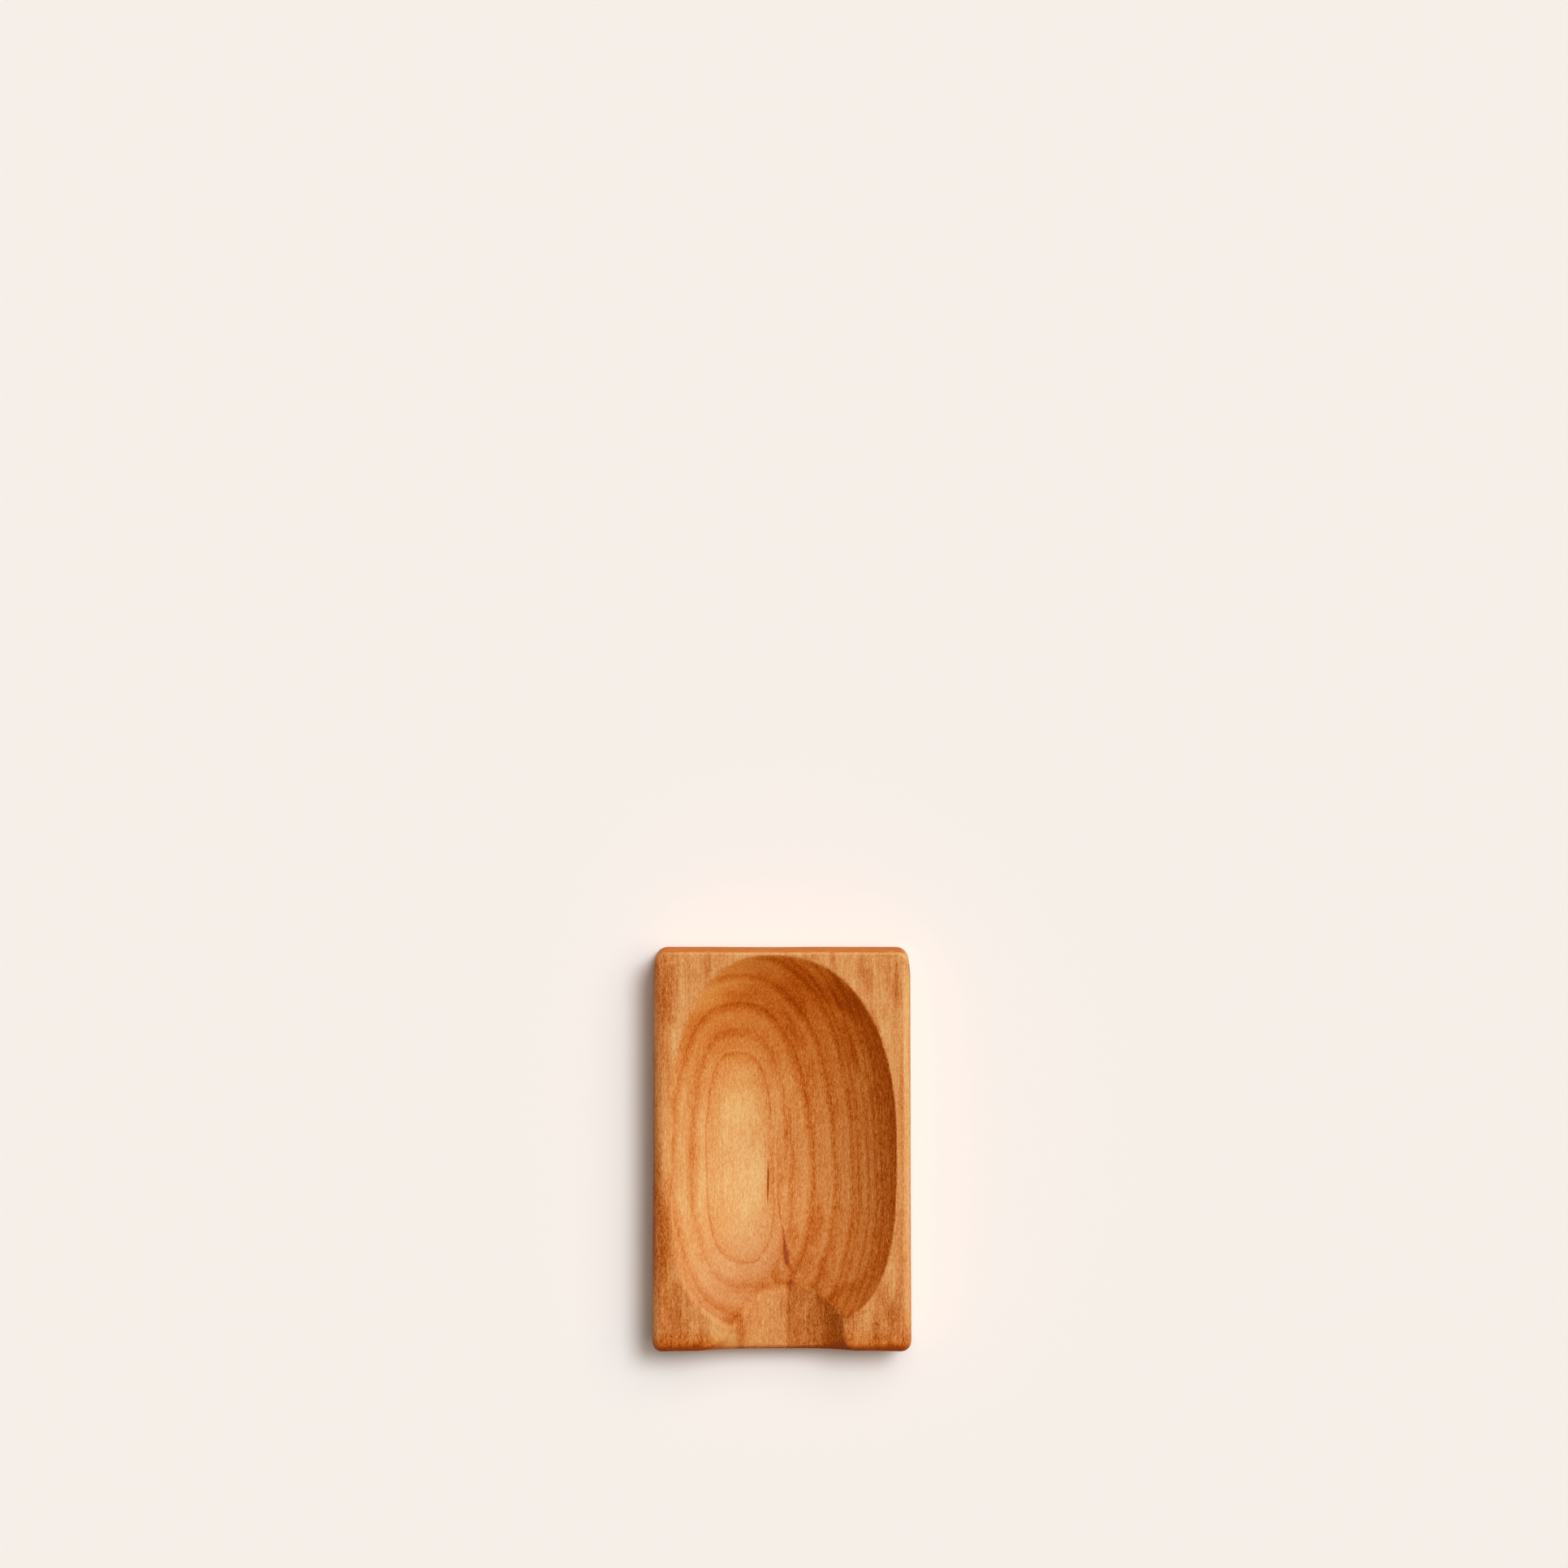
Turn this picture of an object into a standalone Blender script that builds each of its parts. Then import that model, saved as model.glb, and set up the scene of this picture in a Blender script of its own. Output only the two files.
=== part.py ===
"""A spoon rest carved from one block of wood.

A rectangular block with rounded corners and eased edges, crisper at the back, where the
face leans in a little. A long bowl for the spoon's head is sunk into its top, fuller on
the right than on the left, and a shallow channel for the handle runs from the bowl out
through the front face, where its mouth flares.

Metres, +Z up. +Y runs from the handle channel to the bowl's closed end, +X is to the
right seen from above. The origin is the middle of the footprint, on the resting face.
"""

import math

import bmesh
import bpy

MM = 0.001

# Block
BLOCK_LENGTH = 140.0 * MM
FRONT_WIDTH = 90.0 * MM
BACK_WIDTH = 89.2 * MM
BLOCK_HEIGHT = 20.0 * MM
BACK_LEFT_CORNER = 4.6 * MM
BACK_RIGHT_CORNER = 5.4 * MM
FRONT_LEFT_CORNER = 4.0 * MM
FRONT_RIGHT_CORNER = 4.2 * MM
TOP_EDGE_RADIUS = 3.2 * MM
BOTTOM_EDGE_RADIUS = 1.2 * MM

# Back of the block: its tighter top edge, where that starts, and how far the face leans in
BACK_EDGE_RADIUS = 1.2 * MM
BACK_EDGE_START = 9.0 * MM
BACK_LEAN = 0.7 * MM

# Wood left around and under the bowl
LEFT_RIM = 5.4 * MM
RIGHT_RIM = 5.1 * MM
BACK_RIM = 2.1 * MM
FRONT_RIM = 7.9 * MM
FLOOR_THICKNESS = 6.5 * MM

# Bowl: its lowest point from the block's middle, and how full its outline and walls are
BOWL_SHIFT_X = -3.5 * MM
BOWL_SHIFT_Y = 1.9 * MM
BACK_FULLNESS = 2.32
FRONT_LEFT_FULLNESS = 2.97
FRONT_RIGHT_FULLNESS = 3.28
WALL_FULLNESS = 2.3

# How far the bowl's rim is rounded over: crisp on the right, softer on the left
CRISP_RIM_RADIUS = 0.8 * MM
SOFT_RIM_RADIUS = 3.2 * MM

# Handle channel
CHANNEL_SHIFT_X = 3.0 * MM
CHANNEL_LEFT = 20.3 * MM
CHANNEL_RIGHT = 18.6 * MM
CHANNEL_DEPTH = 6.0 * MM
CHANNEL_LEFT_FULLNESS = 3.3
CHANNEL_RIGHT_FULLNESS = 2.6

# Flare of the channel's mouth at the front face
LEFT_FLARE = 16.5 * MM
RIGHT_FLARE = 7.0 * MM
LEFT_FLARE_LENGTH = 11.0 * MM
RIGHT_FLARE_LENGTH = 6.0 * MM
MOUTH_EDGE_RADIUS = 1.6 * MM

# How far the cutters stand out of the block, and how far their lips clear its top
CUTTER_REACH = 6.0 * MM
LIP_LIFT = 0.12 * MM

# Edges this near a height count as lying at it
LEVEL_TOLERANCE = 0.01 * MM

# Fineness of the round forms
CORNER_STEPS = 8
EDGE_STEPS = 5
BOWL_SEGMENTS = 104
BOWL_RINGS = 19
CHANNEL_COLUMNS = 40
FLARE_ROWS = 8
MOUTH_ROWS = 4

SMOOTH_ANGLE = math.radians(30.0)

# Finish: oiled reddish-brown fruitwood
WOOD_COLOUR = (0.60, 0.22, 0.065, 1.0)
WOOD_ROUGHNESS = 0.55

BLOCK_FRONT = -BLOCK_LENGTH / 2.0
BLOCK_BACK = BLOCK_LENGTH / 2.0
BOWL_DEPTH = BLOCK_HEIGHT - FLOOR_THICKNESS


def clear_scene():
    """Remove whatever the scene holds."""
    for item in list(bpy.data.objects):
        bpy.data.objects.remove(item, do_unlink=True)


def make_collection(name):
    """Return a new collection linked to the scene."""
    collection = bpy.data.collections.new(name)
    bpy.context.scene.collection.children.link(collection)
    return collection


def make_wood():
    """Return the block's material."""
    material = bpy.data.materials.new("oiled_wood")
    material.use_nodes = True
    shader = material.node_tree.nodes["Principled BSDF"]
    shader.inputs["Base Color"].default_value = WOOD_COLOUR
    shader.inputs["Roughness"].default_value = WOOD_ROUGHNESS
    shader.inputs["Metallic"].default_value = 0.0
    return material


def mesh_object(name, bm, collection):
    """Turn a bmesh into a linked object and free it."""
    mesh = bpy.data.meshes.new(name)
    bm.to_mesh(mesh)
    bm.free()
    item = bpy.data.objects.new(name, mesh)
    collection.objects.link(item)
    return item


def half_width(y):
    """Half the block's width at a distance along its length."""
    share = (y - BLOCK_FRONT) / BLOCK_LENGTH
    return (FRONT_WIDTH + (BACK_WIDTH - FRONT_WIDTH) * share) / 2.0


def bevel(bm, edges, radius, steps):
    """Round a set of edges."""
    bmesh.ops.bevel(bm, geom=edges, offset=radius, offset_type="OFFSET", segments=steps,
                    profile=0.5, affect="EDGES", clamp_overlap=True)


def flat_edges(bm, height):
    """Edges that lie at one height."""
    return [edge for edge in bm.edges
            if all(abs(vert.co.z - height) < LEVEL_TOLERANCE for vert in edge.verts)]


def upright_edges(bm):
    """Edges that run from the bottom to the top."""
    return [edge for edge in bm.edges
            if abs(edge.verts[0].co.z - edge.verts[1].co.z) > BLOCK_HEIGHT / 2.0]


def corner_radius(x, y):
    """Radius of the upright corner on the same quarter of the plan as a point."""
    if y > 0.0:
        return BACK_RIGHT_CORNER if x > 0.0 else BACK_LEFT_CORNER
    return FRONT_RIGHT_CORNER if x > 0.0 else FRONT_LEFT_CORNER


def outward(x, y):
    """Plan direction straight out of the block, fanned round its corners."""
    radius = corner_radius(x, y)
    past_x = max(abs(x) - half_width(y) + radius, 0.0)
    past_y = max(abs(y) - BLOCK_BACK + radius, 0.0)
    length = math.hypot(past_x, past_y)
    return math.copysign(past_x / length, x), math.copysign(past_y / length, y)


def tighten_back_edge(bm):
    """Let the top edge's rounding shrink from the sides to the back face."""
    for vert in bm.verts:
        drop = BLOCK_HEIGHT - vert.co.z
        run = (vert.co.y - BLOCK_BACK + BACK_EDGE_START) / BACK_EDGE_START
        if drop > TOP_EDGE_RADIUS + LEVEL_TOLERANCE or run <= 0.0:
            continue
        shrink = min(run, 1.0) * (1.0 - BACK_EDGE_RADIUS / TOP_EDGE_RADIUS)
        rise = min(max(1.0 - drop / TOP_EDGE_RADIUS, 0.0), 1.0)
        inset = TOP_EDGE_RADIUS * (1.0 - math.sqrt(1.0 - rise * rise))
        across, along = outward(vert.co.x, vert.co.y)
        vert.co.x += across * inset * shrink
        vert.co.y += along * inset * shrink
        vert.co.z += drop * shrink


def make_block(collection):
    """The blank: a box that narrows a little to the back, with its corners and edges rounded."""
    bm = bmesh.new()
    bmesh.ops.create_cube(bm, size=1.0)
    for vert in bm.verts:
        y = vert.co.y * BLOCK_LENGTH
        lean = BACK_LEAN if vert.co.y > 0.0 and vert.co.z > 0.0 else 0.0
        x = math.copysign(half_width(y), vert.co.x)
        vert.co = (x, y - lean, (vert.co.z + 0.5) * BLOCK_HEIGHT)
    for edge in upright_edges(bm):
        x, y, _ = edge.verts[0].co
        bevel(bm, [edge], corner_radius(x, y), CORNER_STEPS)
    bevel(bm, flat_edges(bm, BLOCK_HEIGHT), TOP_EDGE_RADIUS, EDGE_STEPS)
    bevel(bm, flat_edges(bm, 0.0), BOTTOM_EDGE_RADIUS, EDGE_STEPS)
    tighten_back_edge(bm)
    return mesh_object("carved_block", bm, collection)


def rim_reach(angle):
    """Plan vector from the bowl's lowest point to its rim.

    The outline is a superellipse whose reach differs to the left, right, back and front,
    and whose front corners differ in fullness too.
    """
    side = math.cos(angle)
    along = math.sin(angle)
    width = half_width(BOWL_SHIFT_Y)
    if side > 0.0:
        reach_x = width - RIGHT_RIM - BOWL_SHIFT_X
    else:
        reach_x = width - LEFT_RIM + BOWL_SHIFT_X
    if along > 0.0:
        reach_y = BLOCK_BACK - BACK_RIM - BOWL_SHIFT_Y
        fullness = BACK_FULLNESS
    else:
        reach_y = BLOCK_BACK - FRONT_RIM + BOWL_SHIFT_Y
        fullness = FRONT_RIGHT_FULLNESS if side > 0.0 else FRONT_LEFT_FULLNESS
    stretch = (abs(side) ** fullness + abs(along) ** fullness) ** (-1.0 / fullness)
    return stretch * side * reach_x, stretch * along * reach_y


def bowl_section(angle, ring):
    """One point of the bowl's section: distance from the lowest point, and height.

    Rings 0 to BOWL_RINGS climb the wall, the next two round the rim over, and the last
    two close the cutter above the block.
    """
    reach = math.hypot(*rim_reach(angle))
    slope = math.atan(BOWL_DEPTH * WALL_FULLNESS / reach)
    softness = (1.0 - math.cos(angle)) / 2.0
    radius = CRISP_RIM_RADIUS + (SOFT_RIM_RADIUS - CRISP_RIM_RADIUS) * softness
    lip = reach + radius * math.tan(slope / 2.0)
    top = BLOCK_HEIGHT
    if ring <= BOWL_RINGS:
        level = ring / BOWL_RINGS * (lip - radius * math.sin(slope)) / reach
        return level * reach, FLOOR_THICKNESS + BOWL_DEPTH * level ** WALL_FULLNESS
    if ring == BOWL_RINGS + 1:
        turn = slope / 2.0
        return lip - radius * math.sin(turn), top - radius * (1.0 - math.cos(turn))
    if ring == BOWL_RINGS + 2:
        return lip, top + LIP_LIFT
    if ring == BOWL_RINGS + 3:
        return lip, top + CUTTER_REACH
    return 0.0, top + CUTTER_REACH


def make_bowl_cutter(collection):
    """The bowl's hollow: a sphere whose rings are moved onto the bowl's own levels."""
    rings = BOWL_RINGS + 4
    bm = bmesh.new()
    bmesh.ops.create_uvsphere(bm, u_segments=BOWL_SEGMENTS, v_segments=rings, radius=1.0)
    for vert in bm.verts:
        climb = math.asin(max(-1.0, min(1.0, vert.co.z))) / math.pi + 0.5
        ring = round(climb * rings)
        angle = math.atan2(vert.co.y, vert.co.x)
        distance, height = bowl_section(angle, ring)
        across, along = rim_reach(angle)
        share = distance / math.hypot(across, along)
        vert.co = (BOWL_SHIFT_X + share * across, BOWL_SHIFT_Y + share * along, height)
    bmesh.ops.recalc_face_normals(bm, faces=bm.faces)
    return mesh_object("bowl_cutter", bm, collection)


def flare_share(y, length):
    """How far a quarter-round flare has opened, from 0 at its start to 1 at the front face."""
    run = min(max((BLOCK_FRONT + length - y) / length, 0.0), 1.0)
    return 1.0 - math.sqrt(1.0 - run * run)


def channel_side(y, side):
    """Width of the channel from its middle to its left (-1) or right (+1) edge."""
    if side < 0.0:
        return CHANNEL_LEFT + LEFT_FLARE * flare_share(y, LEFT_FLARE_LENGTH)
    return CHANNEL_RIGHT + RIGHT_FLARE * flare_share(y, RIGHT_FLARE_LENGTH)


def channel_rows():
    """Places along the length where the channel's section is set, and their drop at the mouth."""
    longest = max(LEFT_FLARE_LENGTH, RIGHT_FLARE_LENGTH)
    rows = [(BOWL_SHIFT_Y, 0.0)]
    for step in range(FLARE_ROWS):
        share = step / FLARE_ROWS
        rows.append((BLOCK_FRONT + longest + (MOUTH_EDGE_RADIUS - longest) * share, 0.0))
    for step in range(MOUTH_ROWS + 1):
        turn = math.pi / 2.0 * step / MOUTH_ROWS
        back = MOUTH_EDGE_RADIUS * (1.0 - math.sin(turn))
        rows.append((BLOCK_FRONT + back, MOUTH_EDGE_RADIUS * (1.0 - math.cos(turn))))
    rows.append((BLOCK_FRONT - CUTTER_REACH, MOUTH_EDGE_RADIUS))
    return rows


def make_channel_cutter(collection):
    """The channel's hollow: a grid laid on the channel's floor and walls, then drawn upwards."""
    rows = channel_rows()
    bm = bmesh.new()
    bmesh.ops.create_grid(bm, x_segments=CHANNEL_COLUMNS, y_segments=len(rows) - 1, size=1.0)
    for vert in bm.verts:
        row = round((1.0 - vert.co.y) / 2.0 * (len(rows) - 1))
        column = round((1.0 + vert.co.x) / 2.0 * CHANNEL_COLUMNS)
        y, drop = rows[row]
        share = 2.0 * column / CHANNEL_COLUMNS - 1.0
        fullness = CHANNEL_LEFT_FULLNESS if share < 0.0 else CHANNEL_RIGHT_FULLNESS
        x = CHANNEL_SHIFT_X + share * channel_side(y, share)
        z = BLOCK_HEIGHT - CHANNEL_DEPTH * (1.0 - abs(share) ** fullness) - drop
        if column in (0, CHANNEL_COLUMNS):
            z = BLOCK_HEIGHT + LIP_LIFT
        vert.co = (x, y, z)
    drawn = bmesh.ops.extrude_face_region(bm, geom=bm.faces[:])
    for item in drawn["geom"]:
        if isinstance(item, bmesh.types.BMVert):
            item.co.z = BLOCK_HEIGHT + CUTTER_REACH
    bmesh.ops.recalc_face_normals(bm, faces=bm.faces)
    return mesh_object("channel_cutter", bm, collection)


def carve(block, cutter):
    """Cut one hollow out of the block."""
    cutter.hide_render = True
    cutter.display_type = "WIRE"
    cut = block.modifiers.new(cutter.name, "BOOLEAN")
    cut.operation = "DIFFERENCE"
    cut.solver = "EXACT"
    cut.object = cutter


def main():
    """Build the spoon rest."""
    clear_scene()
    parts = make_collection("spoon_rest")
    cutters = make_collection("cutters")
    block = make_block(parts)
    block.data.materials.append(make_wood())
    block.data.shade_smooth()
    block.data.set_sharp_from_angle(angle=SMOOTH_ANGLE)
    carve(block, make_bowl_cutter(cutters))
    carve(block, make_channel_cutter(cutters))


main()
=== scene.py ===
"""Looks of a spoon rest carved from one block of oiled fruitwood.

The block is one rule: a sphere's rings and meridians are laid over the bowl, the land
around it, the eased edges, the sides and the underside, so that the mesh lines follow
the bowl's rim. The fibres and pores of its wood fill the block in three dimensions. The
bowl's growth rings, the check and the streaks are laid on from above, and the layers on
the outer faces are a pattern of their own, so the two don't meet as one set of rings.
Painted highlights and painted shade are laid on some edges, walls and patches as well.
"""

from __future__ import annotations

import logging
import math
from dataclasses import dataclass, fields
from enum import Enum

import bpy
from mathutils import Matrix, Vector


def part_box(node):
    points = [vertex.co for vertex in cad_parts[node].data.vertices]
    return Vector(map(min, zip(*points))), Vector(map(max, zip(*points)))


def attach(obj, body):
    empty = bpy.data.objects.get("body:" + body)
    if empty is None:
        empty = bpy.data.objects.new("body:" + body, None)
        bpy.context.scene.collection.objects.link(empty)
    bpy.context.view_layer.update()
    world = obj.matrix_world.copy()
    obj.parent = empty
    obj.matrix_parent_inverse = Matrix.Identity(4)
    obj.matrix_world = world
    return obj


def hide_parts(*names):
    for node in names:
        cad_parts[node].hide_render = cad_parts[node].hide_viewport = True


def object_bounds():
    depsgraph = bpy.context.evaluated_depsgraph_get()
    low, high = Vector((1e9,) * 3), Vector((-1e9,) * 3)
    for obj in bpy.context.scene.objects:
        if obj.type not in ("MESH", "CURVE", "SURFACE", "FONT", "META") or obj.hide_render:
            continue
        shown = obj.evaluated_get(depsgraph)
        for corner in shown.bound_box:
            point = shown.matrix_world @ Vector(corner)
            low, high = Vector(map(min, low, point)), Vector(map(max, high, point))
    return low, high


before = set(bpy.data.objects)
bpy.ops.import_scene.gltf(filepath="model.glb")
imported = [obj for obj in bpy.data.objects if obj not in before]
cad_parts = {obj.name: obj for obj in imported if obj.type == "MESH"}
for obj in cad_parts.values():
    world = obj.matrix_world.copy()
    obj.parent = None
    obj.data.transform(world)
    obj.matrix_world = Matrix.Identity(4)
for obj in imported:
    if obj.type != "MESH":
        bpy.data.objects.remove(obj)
CAD_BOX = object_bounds()

log = logging.getLogger("spoon_rest")

MM = 0.001
MM_PER_METRE = 1000.0
PHOTO_SIZE = 1932


class Slot(Enum):
    """Material slot names."""

    WOOD = "wood"


@dataclass
class Field:
    """A number that a node tree works out point by point."""

    tree: bpy.types.NodeTree
    socket: bpy.types.NodeSocket

    def math(self, operation: str, *others: Field | float) -> Field:
        """Feed this number and others into one Math node.

        Args:
            operation: The Math node's operation.
            others: Further fields or plain numbers, in the node's order.

        Returns:
            The node's result.
        """
        node = self.tree.nodes.new("ShaderNodeMath")
        node.operation = operation
        for place, value in enumerate((self, *others)):
            if isinstance(value, Field):
                self.tree.links.new(value.socket, node.inputs[place])
            else:
                node.inputs[place].default_value = value
        return Field(self.tree, node.outputs[0])

    def __add__(self, other: Field | float) -> Field:
        """Sum."""
        return self.math("ADD", other)

    def __sub__(self, other: Field | float) -> Field:
        """Difference."""
        return self.math("SUBTRACT", other)

    def __rsub__(self, other: float) -> Field:
        """Difference from a plain number."""
        return (self * -1.0) + other

    def __mul__(self, other: Field | float) -> Field:
        """Product."""
        return self.math("MULTIPLY", other)

    def __rmul__(self, other: float) -> Field:
        """Product with a plain number first."""
        return self.math("MULTIPLY", other)

    def __truediv__(self, other: Field | float) -> Field:
        """Quotient."""
        return self.math("DIVIDE", other)

    def __pow__(self, other: Field | float) -> Field:
        """Power."""
        return self.math("POWER", other)

    def inverse(self) -> Field:
        """1 divided by the number."""
        return self ** -1.0

    def size(self) -> Field:
        """The number without its sign."""
        return self.math("ABSOLUTE")

    def least(self, other: Field | float) -> Field:
        """The smaller of two."""
        return self.math("MINIMUM", other)

    def most(self, other: Field | float) -> Field:
        """The larger of two."""
        return self.math("MAXIMUM", other)

    def above(self, other: Field | float) -> Field:
        """1 where this number is the larger, otherwise 0."""
        return self.math("GREATER_THAN", other)

    def within(self, low: Field | float, high: Field | float) -> Field:
        """How far this number is from low to high, kept between 0 and 1.

        Args:
            low: Where the share is 0.
            high: Where the share is 1.

        Returns:
            The share.
        """
        if isinstance(low, Field) or isinstance(high, Field):
            share = (self - low) / (high - low)
        else:
            share = (self - low) * (1.0 / (high - low))
        return share.most(0.0).least(1.0)

    def eased(self) -> Field:
        """A share from 0 to 1 with soft ends."""
        return self * self * (3.0 - 2.0 * self)

    def blend(self, low: Field | float, high: Field | float) -> Field:
        """Go from low to high as this share goes from 0 to 1.

        Args:
            low: The value at 0.
            high: The value at 1.

        Returns:
            The blended value.
        """
        return self * (high - low) + low

    def smooth_most(self, other: Field | float, reach: Field | float) -> Field:
        """The larger of two, with the crossing rounded.

        Args:
            other: The second number.
            reach: How far from the crossing the rounding starts.

        Returns:
            The rounded maximum.
        """
        return self.math("SMOOTH_MAX", other, reach)


def split(tree: bpy.types.NodeTree, vector: bpy.types.NodeSocket) -> list[Field]:
    """Take a vector apart.

    Args:
        tree: The node tree that it is in.
        vector: The vector's socket.

    Returns:
        Its three fields.
    """
    node = tree.nodes.new("ShaderNodeSeparateXYZ")
    tree.links.new(vector, node.inputs[0])
    return [Field(tree, socket) for socket in node.outputs]


def join(tree: bpy.types.NodeTree, x: Field | float, y: Field | float,
         z: Field | float) -> bpy.types.NodeSocket:
    """Put a vector together.

    Args:
        tree: The node tree to build in.
        x: First component.
        y: Second component.
        z: Third component.

    Returns:
        The vector's socket.
    """
    node = tree.nodes.new("ShaderNodeCombineXYZ")
    for place, value in enumerate((x, y, z)):
        if isinstance(value, Field):
            tree.links.new(value.socket, node.inputs[place])
        else:
            node.inputs[place].default_value = value
    return node.outputs[0]


def noise(tree: bpy.types.NodeTree, vector: bpy.types.NodeSocket, seed: float,
          detail: float = 2.0, roughness: float = 0.5) -> Field:
    """Smooth noise centred on 0, about -1 to 1, one bump to each unit of the vector.

    Args:
        tree: The node tree to build in.
        vector: Where to read it.
        seed: Which noise it is.
        detail: How many finer octaves it has.
        roughness: How strong they are.

    Returns:
        The noise.
    """
    node = tree.nodes.new("ShaderNodeTexNoise")
    node.noise_dimensions = "4D"
    tree.links.new(vector, node.inputs["Vector"])
    node.inputs["W"].default_value = seed
    node.inputs["Scale"].default_value = 1.0
    node.inputs["Detail"].default_value = detail
    node.inputs["Roughness"].default_value = roughness
    return (Field(tree, node.outputs[0]) - 0.5) * 2.0


@dataclass(frozen=True)
class Grain:
    """A noise with bumps of a chosen size, in the unit of the places it is read at."""

    across: float
    along: float
    seed: float
    detail: float = 2.0
    roughness: float = 0.5

    def field(self, x: Field, y: Field, z: Field | None = None) -> Field:
        """Read the noise at a place.

        Args:
            x: Place across the grain.
            y: Place along it.
            z: Place through it, left out where the noise is the same all the way down.

        Returns:
            The noise, about -1 to 1.
        """
        deep = 0.0 if z is None else z * (1 / self.across)
        where = join(x.tree, x * (1 / self.across), y * (1 / self.along), deep)
        return noise(x.tree, where, self.seed, self.detail, self.roughness)


@dataclass(frozen=True)
class Blank:
    """The block before it is hollowed, in metres."""

    length: float
    front_width: float = 90.0 * MM
    back_width: float = 89.2 * MM
    height: float = 20.0 * MM
    back_left_corner: float = 4.6 * MM
    back_right_corner: float = 4.5 * MM
    front_left_corner: float = 3.4 * MM
    front_right_corner: float = 3.8 * MM
    top_edge_radius: float = 3.2 * MM
    back_edge_radius: float = 1.2 * MM
    bottom_edge_radius: float = 1.2 * MM
    back_lean: float = 0.7 * MM
    front_hollow: float = 0.45 * MM
    edge_wander: float = 0.25 * MM


@dataclass(frozen=True)
class Bowl:
    """The hollow for the spoon's head, in metres."""

    left_rim: float = 5.4 * MM
    right_rim: float = 5.1 * MM
    back_rim: float = 2.1 * MM
    front_rim: float = 7.9 * MM
    floor_thickness: float = 6.5 * MM
    shift_x: float = -3.5 * MM
    shift_y: float = 1.9 * MM
    back_left_fullness: float = 2.32
    back_right_fullness: float = 2.29
    front_left_fullness: float = 2.97
    front_right_fullness: float = 3.28
    wall_fullness: float = 2.3
    crisp_rim: float = 0.25 * MM
    soft_rim: float = 1.6 * MM
    tool_wander: float = 0.16 * MM


@dataclass(frozen=True)
class Channel:
    """The trough for the spoon's handle, in metres."""

    channel_x: float = 3.0 * MM
    left: float = 20.3 * MM
    right: float = 18.6 * MM
    depth: float = 6.0 * MM
    left_fullness: float = 3.3
    right_fullness: float = 2.6
    left_flare: float = 16.5 * MM
    right_flare: float = 7.0 * MM
    left_flare_length: float = 11.0 * MM
    right_flare_length: float = 6.0 * MM
    mouth_edge_radius: float = 1.6 * MM
    crisp_side: float = 0.25 * MM
    soft_side: float = 2.4 * MM


@dataclass(frozen=True)
class Rings:
    """How many of the sphere's rings each zone of the block gets."""

    bowl: int = 112
    land: int = 26
    top_edge: int = 11
    side: int = 14
    bottom_edge: int = 7
    underside: int = 6
    around: int = 480

    def total(self) -> int:
        """All rings from the bowl's lowest point to the middle of the underside."""
        return self.bowl + self.land + self.top_edge + self.side + self.bottom_edge + self.underside


# Waves of the cut edge, read by direction, and marks of the gouge, read by place in metres
EDGE_WAVES = Grain(1 / 2.2, 1 / 3.4, 3.7, 1.0)
TOOL_MARKS = Grain(1 / 38.0, 1 / 24.0, 11.3)
LEVEL_POWER = 1.3
LAND_POWER = 1.35
BACK_EASE_START = 9.0 * MM
BACK_EASE_END = 0.5 * MM
FRONT_EASE = 4.0 * MM


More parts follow.
